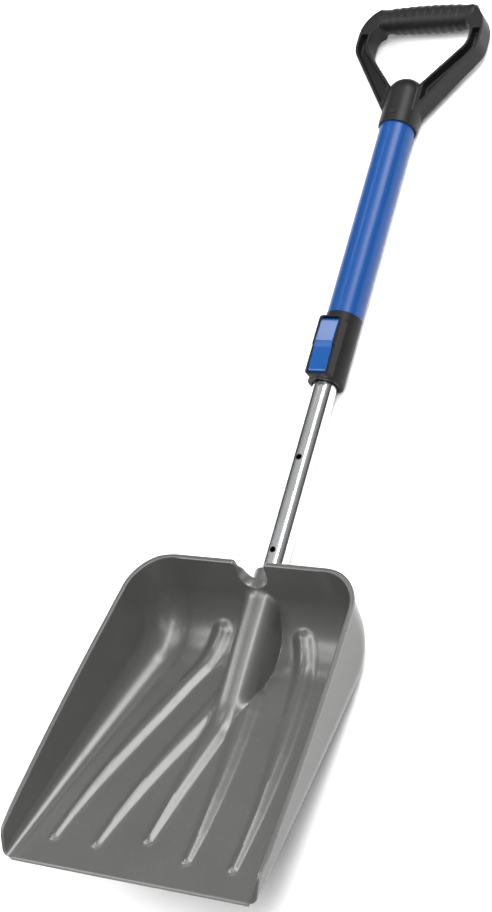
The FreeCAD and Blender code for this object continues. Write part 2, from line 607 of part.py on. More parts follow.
def d_grip():
    """One moulding: socket with a domed end, two channelled arms and the hand bar."""
    ring = Part.Face(rounded_wire(*grip_outline())).cut(Part.Face(rounded_wire(*hand_hole())))
    ring.translate(V(0, 0, -GRIP_DEPTH / 2))
    ring = ring.extrude(V(0, 0, GRIP_DEPTH))
    ring = ring.cut(block(BAR_HALF_LENGTH, BAR_T - BAR_R - 2, BAR_T + BAR_R + 1, -GRIP_DEPTH, GRIP_DEPTH))
    for side in (1, -1):
        for face_side in (1, -1):
            ring = ring.cut(arm_pocket(side, face_side))
    dome_t = UPPER_END + 1.0
    body = ring.fuse([along_handle(GRIP_SOCKET_R, GRIP_T, dome_t),
                      Part.makeSphere(GRIP_SOCKET_R, V(0, dome_t, 0)), grip_bar()])
    body = body.cut(along_handle(UPPER_TUBE_R + TIGHT, GRIP_T - 1, UPPER_END + TIGHT))
    return solid_of(body.cut(shank_hole(GRIP_RIVET_T, 1, GRIP_SOCKET_R)))


def grip_rivet():
    """Rivet in front, through the grip's socket and the upper tube's wall."""
    head = seated_head(GRIP_RIVET_T, 1, GRIP_SOCKET_R, RIVET_HEAD)
    return solid_of(head.fuse(shank(GRIP_RIVET_T, 1, UPPER_BORE_R + TIGHT, GRIP_SOCKET_R + RIVET_HEAD / 2)))


# ---- assembly --------------------------------------------------------------------------------
def nodes():
    return {
        "scoop": scoop(),
        "lower_tube": lower_tube(),
        "scoop_screw_upper": scoop_screw(SCREW_T[0]),
        "scoop_screw_lower": scoop_screw(SCREW_T[1]),
        "guide_bush": guide_bush(),
        "bush_pin": bush_pin(),
        "upper_tube": upper_tube(),
        "lock_housing": lock_housing(),
        "lock_bezel": lock_bezel(),
        "guide_liner": guide_liner(),
        "housing_rivet": housing_rivet(),
        "rocker_pivot_pin": rocker_pivot_pin(),
        "release_rocker": release_rocker(),
        "lock_pin": lock_pin(),
        "return_spring": return_spring(),
        "d_grip": d_grip(),
        "grip_rivet": grip_rivet(),
    }


os.makedirs("parts", exist_ok=True)
for name, shape in nodes().items():
    shape.translate(V(0, -MIDDLE_T, REST_HEIGHT))
    if not shape.isValid():
        raise ValueError(name + " is not a valid solid")
    shape.exportStep("parts/" + name + ".step")
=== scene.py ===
import math

import bmesh
import bpy
import numpy as np
from mathutils import Matrix, Vector


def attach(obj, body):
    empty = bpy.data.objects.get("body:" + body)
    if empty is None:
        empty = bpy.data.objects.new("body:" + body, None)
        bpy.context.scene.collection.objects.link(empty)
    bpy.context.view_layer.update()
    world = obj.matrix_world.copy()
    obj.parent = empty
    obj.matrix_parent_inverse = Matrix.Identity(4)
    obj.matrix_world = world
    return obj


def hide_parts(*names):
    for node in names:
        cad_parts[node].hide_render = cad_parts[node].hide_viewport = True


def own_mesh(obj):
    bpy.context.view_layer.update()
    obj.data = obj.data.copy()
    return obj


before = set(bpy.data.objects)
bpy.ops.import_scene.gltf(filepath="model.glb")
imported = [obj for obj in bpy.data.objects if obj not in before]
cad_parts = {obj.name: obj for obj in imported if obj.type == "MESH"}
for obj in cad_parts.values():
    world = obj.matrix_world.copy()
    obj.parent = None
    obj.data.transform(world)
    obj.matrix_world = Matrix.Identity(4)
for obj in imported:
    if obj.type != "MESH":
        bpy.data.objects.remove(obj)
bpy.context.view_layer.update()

# ---- Studio ------------------------------------------------------------------------------------
# The shovel lies on its back on a pale studio floor, on the scoop's heel and the grip's socket.
# The camera looks down on it from the front right, turned so that the handle runs up the frame.
CAMERA_AT = Vector((0.9854, -0.7565, 1.6359))
CAMERA_AIM = Vector((-0.0833, -0.035, 0.0))
CAMERA_ROLL = math.radians(-45.75)
STUDIO_HALF = 6.0

camera = bpy.data.objects.new("camera", bpy.data.cameras.new("camera"))
camera.data.lens = 78.9
camera.data.clip_end = 50
camera.location = CAMERA_AT
camera.rotation_mode = "QUATERNION"
upright = (CAMERA_AIM - CAMERA_AT).to_track_quat("-Z", "Y")
camera.rotation_quaternion = upright @ Matrix.Rotation(CAMERA_ROLL, 3, "Z").to_quaternion()
bpy.context.collection.objects.link(camera)
bpy.context.scene.camera = camera
bpy.context.scene.view_settings.view_transform = "Standard"


class Socket:
    """A shader socket that takes part in Python sums, each of which adds its Math node."""

    def __init__(self, wiring, output):
        self.wiring, self.output = wiring, output

    def maths(self, operation, *values):
        return self.wiring.node("ShaderNodeMath", {"operation": operation}, dict(enumerate(values)))

    def __add__(self, other):
        return self.maths("ADD", self, other)

    def __sub__(self, other):
        return self.maths("SUBTRACT", self, other)

    def __rsub__(self, other):
        return self.maths("SUBTRACT", other, self)

    def __mul__(self, other):
        return self.maths("MULTIPLY", self, other)

    __radd__, __rmul__ = __add__, __mul__


class Wiring:
    """A node tree, with one method that makes any of its nodes."""

    def __init__(self, tree):
        self.tree = tree

    def node(self, kind, settings, inputs, output=0):
        made = self.tree.nodes.new(kind)
        for name, value in settings.items():
            if name == "stops":
                for stop, (place, shade) in zip(made.color_ramp.elements, value):
                    stop.position, stop.color = place, shade
            else:
                setattr(made, name, value)
        for name, value in inputs.items():
            if isinstance(value, Socket):
                self.tree.links.new(value.output, made.inputs[name])
            else:
                made.inputs[name].default_value = value
        return Socket(self, made.outputs[output])


class Finish(Wiring):
    """A material round one Principled shader, whose constants are set on its own sockets."""

    def __init__(self, name, **constants):
        self.material = bpy.data.materials.new(name)
        self.material.use_nodes = True
        super().__init__(self.material.node_tree)
        self.shader = self.tree.nodes["Principled BSDF"]
        for socket, value in constants.items():
            self.shader.inputs[socket.replace("_", " ")].default_value = value

    def place(self, scale=(1, 1, 1)):
        """Where a point is on the object, in metres, stretched by scale."""
        here = self.node("ShaderNodeTexCoord", {}, {}, "Object")
        return self.node("ShaderNodeMapping", {}, {"Vector": here, "Scale": scale}, "Vector")

    def noise(self, scale, detail=2.0, stretch=(1, 1, 1)):
        return self.node("ShaderNodeTexNoise", {},
                         {"Vector": self.place(stretch), "Scale": scale, "Detail": detail}, "Fac")

    def blend(self, share, first, second):
        """A colour between two, by share."""
        return self.node("ShaderNodeMix", {"data_type": "RGBA"}, {0: share, 6: first, 7: second}, 2)

    def band(self, value, low, high):
        """0 below low, 1 above high, smooth between."""
        return self.node("ShaderNodeMapRange", {"interpolation_type": "SMOOTHSTEP"},
                         {"Value": value, "From Min": low, "From Max": high})

    def feed(self, **links):
        for name, value in links.items():
            self.tree.links.new(value.output, self.shader.inputs[name.replace("_", " ")])

    def bump(self, height, distance, strength=1.0):
        self.feed(Normal=self.node("ShaderNodeBump", {}, {"Height": height, "Distance": distance,
                                                          "Strength": strength}, "Normal"))


def colour(red, green, blue):
    return (red, green, blue, 1.0)


studio_floor = Finish("studio_floor", Roughness=0.9)
studio_floor.feed(Base_Color=studio_floor.blend(studio_floor.noise(3.0), colour(0.88, 0.88, 0.88),
                                                colour(0.92, 0.92, 0.92)))
floor = bpy.data.objects.new("floor", bpy.data.meshes.new("floor"))
floor.data.from_pydata([(-STUDIO_HALF, -STUDIO_HALF, 0), (STUDIO_HALF, -STUDIO_HALF, 0),
                        (STUDIO_HALF, STUDIO_HALF, 0), (-STUDIO_HALF, STUDIO_HALF, 0)],
                       [], [(0, 1, 2, 3)])
floor.data.materials.append(studio_floor.material)
bpy.context.collection.objects.link(floor)

# a sky that is bright overhead and dim at the horizon, as in a studio with dark walls
sky = bpy.data.worlds.new("studio")
sky.use_nodes = True
wires = Wiring(sky.node_tree)
direction = wires.node("ShaderNodeTexCoord", {}, {}, "Generated")
height = wires.node("ShaderNodeSeparateXYZ", {}, {0: direction}, "Z")
glow = wires.node("ShaderNodeValToRGB", {"stops": ((0.12, colour(0.07, 0.07, 0.07)),
                                                   (0.9, colour(0.7, 0.7, 0.7)))}, {0: height}, "Color")
background = sky.node_tree.nodes["Background"]
sky.node_tree.links.new(glow.output, background.inputs["Color"])
background.inputs["Strength"].default_value = 0.8
bpy.context.scene.world = sky
for name, place, aim, size, power in (
        ("far_panel", (0.95, 1.6, 1.65), (0, -0.4, 0.1), (1.4, 0.75), 46),
        ("left_panel", (-1.7, 0.1, 1.5), (0, -0.2, 0), (0.5, 1.8), 24),
        ("right_panel", (1.8, -0.9, 1.2), (0, -0.2, 0.05), (0.3, 1.6), 7),
        ("long_strip", (0.85, -0.3, 1.85), (0, -0.3, 0), (2.6, 0.34), 40),
        ("edge_panel", (-1.2, -0.75, 2.0), (0, -0.5, 0.1), (0.7, 0.7), 12),
        ("grip_panel", (-1.0, 1.3, 1.9), (0, 0.5, 0), (0.4, 0.4), 5),
        ("overhead", (0.1, -0.3, 2.6), (0, -0.1, 0), (1.4, 1.4), 26)):
    lamp = bpy.data.lights.new(name, "AREA")
    lamp.shape = "RECTANGLE"
    lamp.size, lamp.size_y = size
    lamp.energy = power
    light = bpy.data.objects.new(name, lamp)
    light.location = place
    light.rotation_mode = "QUATERNION"
    light.rotation_quaternion = (Vector(aim) - Vector(place)).to_track_quat("-Z", "Y")
    bpy.context.collection.objects.link(light)

# ---- Scoop -------------------------------------------------------------------------------------
# One injection moulding in graphite polypropylene with a satin sheen: floor, rolled heel, back and
# flared side walls, five raised ribs, a half-round socket boss, a rim lip and a notch in the back.
# Sizes in millimetres in the scoop's own frame: x sideways, y back from the edge, z up from its floor.
# The handle's axis meets the floor at FOOT_Y, and lies REST_HEIGHT above the ground.
SLOPE = math.radians(26.1)
FOOT_Y = 232.16
HANDLE_START = -300.34
REST_HEIGHT = 21.5
BLADE_LENGTH = 318.0
FLOOR_HALF_FRONT, FLOOR_HALF_BACK = 133.0, 119.0
FLARE_FRONT, FLARE_BACK = 0.20, 0.02
HEEL_R = 57.0
HEEL_Y = BLADE_LENGTH - HEEL_R
HEEL_ARC = HEEL_R * math.pi / 2
BACK_HEIGHT = 97.7
WALL_RISE = BACK_HEIGHT - HEEL_R
CHAIN_LENGTH = HEEL_Y + HEEL_ARC + WALL_RISE
CORNER_R_FRONT, CORNER_R_BACK, CORNER_LEAD, CORNER_RUN = 4.0, 44.0, 40.0, 471.2
NOSE_SETBACK, NOSE_HEIGHT, NOSE_ROUNDING = 14.0, 21.0, 5.0
RIM_SLOPE = (BACK_HEIGHT - NOSE_HEIGHT) / (BLADE_LENGTH - NOSE_SETBACK)
WALL = 3.0
LIP_OUT, LIP_HEIGHT, LIP_FROM, LIP_FADE = 2.0, 5.0, 4.0, 40.0
EDGE_ROUNDING, EDGE_SETBACK = 1.4, 0.6
NOTCH_R, NOTCH_Z, NOTCH_SHOULDER, NOTCH_FLANGE = 16.5, 83.3, 3.6, 9.0
BOSS_R, BOSS_DRAFT_FROM, BOSS_BLEND, CORE_END = 19.5, 0.996, 8.0, 21.0
RIB_HEIGHT, RIB_FLANK_SLOPE, RIB_FULL_HALF = 6.0, 0.62, 9.5
RIB_FOOT_BLEND, RIB_TOP_BLEND, RIB_MERGE, RIB_HOLLOW = 1.3, 1.8, 1.0, 2.4
RIB_FRONT_HALF, RIB_BACK_HALF = 6.2, 12.5
RIB_SETBACK, MIDDLE_RIB_SETBACK = 27.0, 41.0
OUTER_RIB_X, OUTER_RIB_END_X, OUTER_RIB_RUN = 97.0, 46.0, 283.0
INNER_RIB_X, INNER_RIB_END_X, INNER_RIB_RUN = 49.0, 12.0, 222.0
COLLAR_R, COLLAR_START, COLLAR_END = 17.5, 82.0, 130.6
BORE_R = 12.75


def to_row(points):
    """Scoop frame in millimetres to the row frame in metres."""
    x, y, z = points[..., 0], points[..., 1] - FOOT_Y, points[..., 2]
    cos, sin = math.cos(SLOPE), math.sin(SLOPE)
    return np.stack([x, y * cos + z * sin + HANDLE_START, z * cos - y * sin + REST_HEIGHT], -1) / 1000


def softer(a, b, reach):
    """The larger of two values, with the crease between them filled over reach."""
    near = np.clip(1 - np.abs(a - b) / reach, 0, 1)
    return np.maximum(a, b) + near * near * reach / 4


def rise(share):
    """0 to 1 with level ends."""
    share = np.clip(share, 0, 1)
    return share * share * (3 - 2 * share)


def rim_height(y):
    """The side wall's rim: up the rounded nose, then a straight line to the back."""
    nose = y * NOSE_HEIGHT / NOSE_SETBACK
    line = NOSE_HEIGHT + (y - NOSE_SETBACK) * RIM_SLOPE
    return -softer(-nose, -line, NOSE_ROUNDING)


def half_width(y, z):
    """From the scoop's middle to its side wall."""
    share = y / BLADE_LENGTH
    floor_half = FLOOR_HALF_FRONT + (FLOOR_HALF_BACK - FLOOR_HALF_FRONT) * share
    return floor_half + (FLARE_FRONT + (FLARE_BACK - FLARE_FRONT) * share) * z


def chain(s):
    """Point and inward normal (y, z) at a distance s along floor, heel and back wall."""
    turn = np.clip((s - HEEL_Y) / HEEL_R, 0, math.pi / 2)
    y = np.minimum(s, HEEL_Y) + HEEL_R * np.sin(turn)
    z = HEEL_R * (1 - np.cos(turn)) + np.maximum(s - HEEL_Y - HEEL_ARC, 0)
    return y, z, -np.sin(turn), np.cos(turn)


def along_chain(y):
    """The distance along the chain that lies at a plan distance y."""
    return y if y <= HEEL_Y else HEEL_Y + HEEL_R * math.asin((y - HEEL_Y) / HEEL_R)


boss_foot = FOOT_Y - BOSS_R / math.sin(SLOPE)
widen = RIB_BACK_HALF - RIB_FRONT_HALF
outer_rib = [(OUTER_RIB_X + (OUTER_RIB_END_X - OUTER_RIB_X) * inward,
              along_chain(RIB_SETBACK + OUTER_RIB_RUN * share), RIB_FRONT_HALF + widen * rise(share * 1.5))
             for share, inward in ((0, 0), (.12, .045), (.25, .13), (.37, .24), (.5, .37), (.62, .51),
                                   (.75, .66), (.87, .83), (1, 1))]
inner_rib = [(INNER_RIB_X + (INNER_RIB_END_X - INNER_RIB_X) * inward,
              RIB_SETBACK + INNER_RIB_RUN * share, RIB_FRONT_HALF + 1.5 * widen * share)
             for share, inward in ((0, 0), (.17, .08), (.35, .23), (.52, .41), (.7, .64), (.85, .84), (1, 1))]
# the middle rib is widest where it runs under the boss
middle_rib = [(0.0, MIDDLE_RIB_SETBACK, RIB_FRONT_HALF), (0.0, boss_foot - 12, RIB_BACK_HALF + 2),
              (0.0, boss_foot + 45, RIB_BACK_HALF + 3)]


def rib_field(x, s, path, inset):
    """Height of one rib: flanks of one slope up to a flat top, round ends."""
    height = np.zeros_like(x)
    for (xa, sa, half_a), (xb, sb, half_b) in zip(path, path[1:]):
        start = sa + half_a if sa == path[0][1] else sa
        end = sb - half_b if sb == path[-1][1] else sb
        dx, ds = xb - xa, end - start
        share = np.clip(((x - xa) * dx + (s - start) * ds) / (dx * dx + ds * ds), 0, 1)
        half = half_a + (half_b - half_a) * share - inset
        away = np.hypot(x - xa - share * dx, s - start - share * ds)
        full = np.minimum(RIB_HEIGHT, half * RIB_HEIGHT / RIB_FULL_HALF)
        up = (half - away) * RIB_FLANK_SLOPE
        blended = -softer(-softer(up, 0 * up, RIB_FOOT_BLEND), -full, RIB_TOP_BLEND)
        height = np.maximum(height, np.clip(blended, 0, full))
    return height


def boss_field(x, s, radius):
    """Height of the round boss above the chain, its sides drafted."""
    y, z, ny, nz = chain(s)
    edge = BOSS_DRAFT_FROM * radius
    slope = edge / math.sqrt(radius ** 2 - edge ** 2)
    round_part = np.sqrt(np.maximum(radius ** 2 - np.minimum(np.abs(x), edge) ** 2, 0))
    q = round_part - slope * np.maximum(np.abs(x) - edge, 0)
    tan = math.tan(SLOPE)
    return ((y - FOOT_Y) * tan + q / math.cos(SLOPE) - z) / (nz - ny * tan)


def top_relief(x, s):
    """What stands up from the scoop's inner surface."""
    mirrored = np.abs(x)
    ribs = softer(rib_field(mirrored, s, outer_rib, 0), rib_field(mirrored, s, inner_rib, 0), RIB_MERGE)
    ribs = softer(ribs, rib_field(mirrored, s, middle_rib, 0), RIB_MERGE)
    return softer(ribs, boss_field(x, s, BOSS_R), BOSS_BLEND)


def under_relief(x, s):
    """The same seen from underneath: hollow ribs and the boss's open core, which ends square."""
    mirrored = np.abs(x)
    ribs = np.max([rib_field(mirrored, s, path, RIB_HOLLOW)
                   for path in (outer_rib, inner_rib, middle_rib)], 0)
    y, z, ny, nz = chain(s)
    cos, sin = math.cos(SLOPE), math.sin(SLOPE)
    least_slant = 0.2
    slant = ny * cos + nz * sin
    core_end = (CORE_END - (y - FOOT_Y) * cos - z * sin) / np.maximum(slant, least_slant)
    core = np.minimum(boss_field(x, s, BOSS_R - WALL), core_end)
    return np.maximum(ribs - WALL, np.where(slant > least_slant, core, -WALL))


# rows along the chain as (from, to, step), closer at the leading edge, the rib ends and the boss's
# foot; above the heel, climb runs from 0 to 1 up the back wall
ROW_STEPS = ((0, 8, 1.0), (8, 26, 3.0), (26, 46, 1.4), (46, 180, 2.6), (180, 236, 1.5), (236, 300, 2.2),
             (300, 334, 1.5))
HEEL_TOP_ROWS, BACK_ROWS = 8, 22
rows = np.unique(np.concatenate([np.arange(*step) for step in ROW_STEPS] + [
    np.linspace(ROW_STEPS[-1][1], HEEL_Y + HEEL_ARC, HEEL_TOP_ROWS)]))
climb = np.concatenate([np.zeros(len(rows)), np.linspace(0, 1, BACK_ROWS + 1)[1:]])
row_s = np.concatenate([rows, np.full(BACK_ROWS, rows[-1])])
RIB_CELLS, CORNER_CELLS, WALL_CELLS = 12, 16, 18
FLAT_CELLS = (5, 8, RIB_CELLS, 10, RIB_CELLS, 10)
NOTCH_CELLS = sum(FLAT_CELLS[:3])
BOSS_LINES, BOSS_LINES_FROM, BOSS_LINES_FADE = (18.9, 23.6), 180, 40
MIDDLE_LINES, LEAST_NEAR, LEAST_RIB, LEAST_BETWEEN = (7.0, 10.0), 6.0, 3, 4


def rib_edges(path, s):
    """Where a rib begins and ends, across the scoop."""
    at = [p[1] for p in path]
    centre = np.interp(s, at, [p[0] for p in path])
    half = np.interp(s, at, [p[2] for p in path])
    return centre - half, centre + half


def flat_columns(corner_x):
    """Where the mesh's lines cross the flat part of each row: they follow ribs and boss."""
    merge = rise((row_s - BOSS_LINES_FROM) / BOSS_LINES_FADE)
    near, far = rib_edges(inner_rib, row_s)
    near = np.maximum(near, LEAST_NEAR) * (1 - merge) + BOSS_LINES[0] * merge
    far = np.maximum(far, near + LEAST_RIB) * (1 - merge) + BOSS_LINES[1] * merge
    outer_near, outer_far = rib_edges(outer_rib, row_s)
    middle = np.minimum(MIDDLE_LINES[0] + (MIDDLE_LINES[1] - MIDDLE_LINES[0]) * merge, near - 1.5)
    marks = [0 * row_s, middle, near, far, np.maximum(outer_near, far + LEAST_BETWEEN), outer_far, corner_x]
    lines = []
    for a, b, cells in zip(marks, marks[1:], FLAT_CELLS):
        lines += [a + (b - a) * k / cells for k in range(cells)]
    return np.stack(lines, 1)


def notch_outline(down):
    """Points (x, z) along the notch's edge and on to the rim, moved outwards by down."""
    arc = math.pi / 2 * NOTCH_R
    side = BACK_HEIGHT - NOTCH_SHOULDER - NOTCH_Z
    length = arc + side + math.pi / 2 * NOTCH_SHOULDER
    points = []
    for k in range(NOTCH_CELLS + 1):
        run = length * k / NOTCH_CELLS
        if run <= arc:
            turn = run / NOTCH_R
            points.append(((NOTCH_R + down) * math.sin(turn), NOTCH_Z - (NOTCH_R + down) * math.cos(turn)))
        elif run <= arc + side:
            points.append((NOTCH_R + down, NOTCH_Z + run - arc))
        else:
            turn = (run - arc - side) / NOTCH_SHOULDER
            radius = NOTCH_SHOULDER - down
            points.append((NOTCH_R + NOTCH_SHOULDER - radius * math.cos(turn),
                           BACK_HEIGHT - NOTCH_SHOULDER + radius * math.sin(turn)))
    return np.array(points)


# the flange behind the notch ends before the notch's shoulder, counted in cells
FLANGE_FADE_AHEAD, FLANGE_FADE, SHIFT_FADE = 13, 9.0, 12.0
MOST_SHOULDER_CUT, TOP_PULL = 3.3, 1.3


def skin(grow_front, grow_rim, grow_notch, down, down_notch, back_off, relief=None):
    """One layer of the scoop's right half, offset outwards by grow, its edges drawn in by down."""
    grow_row = grow_front + (grow_rim - grow_front) * rise((row_s - LIP_FROM) / LIP_FADE)
    s = np.maximum(row_s, back_off)
    y, z, ny, nz = chain(s)
    corner_share = (s + CORNER_LEAD + climb * WALL_RISE) / CORNER_RUN
    corner_r = CORNER_R_FRONT + (CORNER_R_BACK - CORNER_R_FRONT) * corner_share
    probe = 10.0
    floor_half = half_width(y, z)
    lean = (half_width(y + probe * ny, z + probe * nz) - floor_half) / probe
    corner_x = floor_half + lean * corner_r - corner_r * np.sqrt(1 + lean ** 2)

    x = flat_columns(corner_x)
    columns = x.shape[1]
    up = climb[:, None]
    notch_share = 1 - rise((np.arange(columns) - NOTCH_CELLS + FLANGE_FADE_AHEAD) / FLANGE_FADE)
    grow = grow_row[:, None] + (grow_notch - grow_rim) * notch_share[None] * up
    edge = notch_outline(0.0) + notch_share[:NOTCH_CELLS + 1, None] * (
        notch_outline(down_notch) - notch_outline(0.0))
    edge += (1 - notch_share[:NOTCH_CELLS + 1, None]) * (
        notch_outline(min(down, MOST_SHOULDER_CUT)) - notch_outline(0.0))
    top_x = x[-1].copy()
    top_x[:NOTCH_CELLS + 1] = edge[:, 0]
    top_z = np.full(columns, BACK_HEIGHT - down)
    top_z[:NOTCH_CELLS + 1] = edge[:, 1]
    fade = rise((np.arange(columns) - NOTCH_CELLS) / SHIFT_FADE)
    shift = (edge[-1, 0] - x[-1, NOTCH_CELLS]) * (1 - fade)
    top_x[NOTCH_CELLS + 1:] = x[-1, NOTCH_CELLS + 1:] + shift[NOTCH_CELLS + 1:]
    x = x + (top_x[None] - x) * up ** TOP_PULL
    base_z = z[:, None] + up * (top_z[None] - z[:, None])
    lift = relief(x, s[:, None] + (base_z - z[:, None])) if relief else -grow
    lift = lift * np.ones_like(x)
    flat = np.stack([x, y[:, None] + lift * ny[:, None], base_z + lift * nz[:, None]], -1)

    limit = np.clip((rim_height(y) - down - corner_r) / corner_r, -1, 1)
    floor_row = (z < 1e-6) & (climb == 0)
    last_turn = np.where(floor_row, np.minimum(np.arcsin(limit), -np.arctan(lean)), -np.arctan(lean))
    turns = -math.pi / 2 + (last_turn + math.pi / 2)[:, None] * np.arange(1, CORNER_CELLS + 1) / CORNER_CELLS
    turns = np.concatenate([np.full((len(s), 1), -math.pi / 2), turns], 1)
    reach = (corner_r + grow_row)[:, None]
    corner_n = corner_r[:, None] + reach * np.sin(turns)
    corner_y = y[:, None] + corner_n * ny[:, None]
    corner_z = z[:, None] + corner_n * nz[:, None]
    corner_z = corner_z + up * (np.minimum(rim_height(corner_y), BACK_HEIGHT) - down - corner_z)
    flare = half_width(corner_y, corner_z) - half_width(corner_y, z[:, None] + corner_n * nz[:, None])
    corner = np.stack([corner_x[:, None] + reach * np.cos(turns) + flare * np.cos(turns),
                       corner_y, corner_z], -1)

    run = s + climb * WALL_RISE
    rim_y = run - (CHAIN_LENGTH - corner_y[-1, -1]) * (run / CHAIN_LENGTH) ** 2
    rim_y = np.minimum(rim_y, corner_y[-1, -1])
    rim_z = rim_height(rim_y) - down
    share = (np.arange(1, WALL_CELLS + 1) / WALL_CELLS)[None]
    clipped = floor_row & (rim_z < corner_z[:, -1])
    share = np.where(clipped[:, None], 0, share)
    wall_y = corner_y[:, -1:] + (rim_y[:, None] - corner_y[:, -1:]) * share
    wall_z = corner_z[:, -1:] + (rim_z[:, None] - corner_z[:, -1:]) * share
    gap = corner[:, -1:, 0] - half_width(corner_y[:, -1:], corner_z[:, -1:])
    wall = np.stack([half_width(wall_y, wall_z) + gap, wall_y, wall_z], -1)
    return np.concatenate([flat, corner, wall], 1)


# the rim's section, from the inner surface over the lip to the outer surface; at the leading edge
# it is only rounded, and round the notch it runs back as a flange
section = [(share_in * WALL, share_in * (WALL + LIP_OUT), share_in * (WALL + NOTCH_FLANGE),
            share_down * LIP_HEIGHT, share_down * WALL, back_off)
           for share_in, share_down, back_off in (
               (.05, .05, .5), (.16, 0, .1), (.5, 0, 0), (.84, 0, 0), (.95, .05, .05), (1, .16, EDGE_SETBACK),
               (1, .55, EDGE_SETBACK), (1, .84, EDGE_SETBACK), (.95, .95, EDGE_SETBACK),
               (.84, 1, EDGE_SETBACK))]
layers = [skin(0, 0, 0, 0.8, 0.5, EDGE_ROUNDING, top_relief)] + [skin(*cut) for cut in section]
layers.append(skin(WALL, WALL, WALL, LIP_HEIGHT, WALL, EDGE_SETBACK, under_relief))


class Mesher:
    """Collects points and faces, then makes one smooth-shaded object in the row frame."""

    def __init__(self):
        self.points, self.faces, self.count = [], [], 0

    def grid(self, points, flip=False, around=False):
        rows, columns = points.shape[:2]
        index = self.count + np.arange(rows * columns).reshape(rows, columns)
        if around:
            index = np.concatenate([index, index[:, :1]], 1)
        a, b, c, d = index[:-1, :-1], index[:-1, 1:], index[1:, 1:], index[1:, :-1]
        order = (a, d, c, b) if flip else (a, b, c, d)
        self.faces.append(np.stack(order, -1).reshape(-1, 4))
        self.points.append(points.reshape(-1, 3))
        self.count += rows * columns

    def make(self, name, finish, body, slot, replaced=(), merge=2e-6, crease=40):
        mesh = bpy.data.meshes.new(name)
        mesh.from_pydata(np.concatenate(self.points).tolist(), [], np.concatenate(self.faces).tolist())
        work = bmesh.new()
        work.from_mesh(mesh)
        bmesh.ops.remove_doubles(work, verts=work.verts, dist=merge)
        bmesh.ops.dissolve_degenerate(work, edges=work.edges, dist=merge)
        bmesh.ops.recalc_face_normals(work, faces=work.faces)
        work.to_mesh(mesh)
        work.free()
        return show(bpy.data.objects.new(name, mesh), finish, body, replaced, crease)


def show(piece, finish, body, replaced=(), crease=40):
    """Links a finished piece, shades it and says what it rides on and stands for."""
    if piece.name not in bpy.context.collection.objects:
        bpy.context.collection.objects.link(piece)
    piece.data.materials.clear()
    piece.data.materials.append(finish.material)
    piece.data.shade_smooth()
    piece.data.set_sharp_from_angle(angle=math.radians(crease))
    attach(piece, body)
    if replaced:
        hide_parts(*replaced)
    return piece


scoop_finish = Finish("graphite_polypropylene", Metallic=0.3, Specular_IOR_Level=0.4, Coat_Weight=0.15,
                      Coat_Roughness=0.2)
cloud = scoop_finish.noise(9.0, 4.0)
grain = scoop_finish.noise(900.0, 3.0)
scuff = scoop_finish.band(scoop_finish.noise(60.0, 6.0, (6, 0.4, 6)), 0.56, 0.75)
scoop_finish.feed(
    Base_Color=scoop_finish.blend(cloud * 0.7 + scuff * 0.3,
                                  colour(0.07, 0.07, 0.068), colour(0.102, 0.102, 0.098)),
    Roughness=0.27 + cloud * 0.06 + scuff * 0.1 + grain * 0.03)
scoop_finish.bump(grain, 0.00003, 0.5)

scoop = Mesher()
loop = [(0, j) for j in range(layers[0].shape[1])]
loop += [(i, -1) for i in range(1, len(row_s))]
loop += [(len(row_s) - 1, j) for j in range(layers[0].shape[1] - 2, -1, -1)]
at_i, at_j = np.array(loop).T
rim = np.stack([layer[at_i, at_j] for layer in layers], 0)
for side in (1, -1):
    flipped = np.array([side, 1, 1])
    scoop.grid(to_row(layers[0] * flipped), flip=side < 0)
    scoop.grid(to_row(layers[-1] * flipped), flip=side > 0)
    scoop.grid(to_row(rim * flipped), flip=side < 0)


def lathe(profile, turns):
    """Rings round the handle's axis from (radius, t) pairs in millimetres, in the row frame."""
    angle = np.arange(turns) * 2 * math.pi / turns
    radius, t = np.array(profile, float).T
    return np.stack([radius[:, None] * np.cos(angle), np.repeat((t + HANDLE_START)[:, None], turns, 1),
                     radius[:, None] * np.sin(angle) + REST_HEIGHT], -1) / 1000


# the collar starts inside the back wall, and its free end is chamfered inside and rounded outside
collar = [(BORE_R, COLLAR_START + 2), (BORE_R + .3, COLLAR_START), (COLLAR_R - .5, COLLAR_START),
          (COLLAR_R, COLLAR_START + 2), (COLLAR_R, 100), (COLLAR_R, 115), (COLLAR_R, COLLAR_END - 1.2),
          (COLLAR_R - .35, COLLAR_END - .35), (COLLAR_R - 1.2, COLLAR_END), (BORE_R + .8, COLLAR_END),
          (BORE_R + .2, COLLAR_END - .2), (BORE_R, COLLAR_END - .8), (BORE_R, 110),
          (BORE_R, COLLAR_START + 2)]
scoop.grid(lathe(collar, 72), around=True)
scoop.make("scoop_moulding", scoop_finish, "scoop_and_lower_tube", "scoop_plastic", ("scoop",))

# ---- Lower tube --------------------------------------------------------------------------------
# Drawn 25.4 mm aluminium tube, polished bright, pressed into the scoop's socket. Faint draw lines
# run along it, and three holes in its front take the lock pin.
bright_aluminium = Finish("bright_aluminium", Metallic=1.0)
draw_lines = bright_aluminium.noise(1.0, 3.0, (1400, 6, 1400))
haze = bright_aluminium.noise(25.0, 3.0)
bright_aluminium.feed(
    Base_Color=bright_aluminium.blend(haze * 0.6 + draw_lines * 0.4,
                                      colour(0.6, 0.61, 0.62), colour(0.8, 0.81, 0.82)),
    Roughness=0.06 + draw_lines * 0.08 + haze * 0.04)
bright_aluminium.bump(draw_lines, 0.00002, 0.4)


def finish_node(node, finish):
    """Gives a CAD node that stays as it is its material."""
    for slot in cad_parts[node].material_slots:
        slot.material = finish.material


finish_node("lower_tube", bright_aluminium)

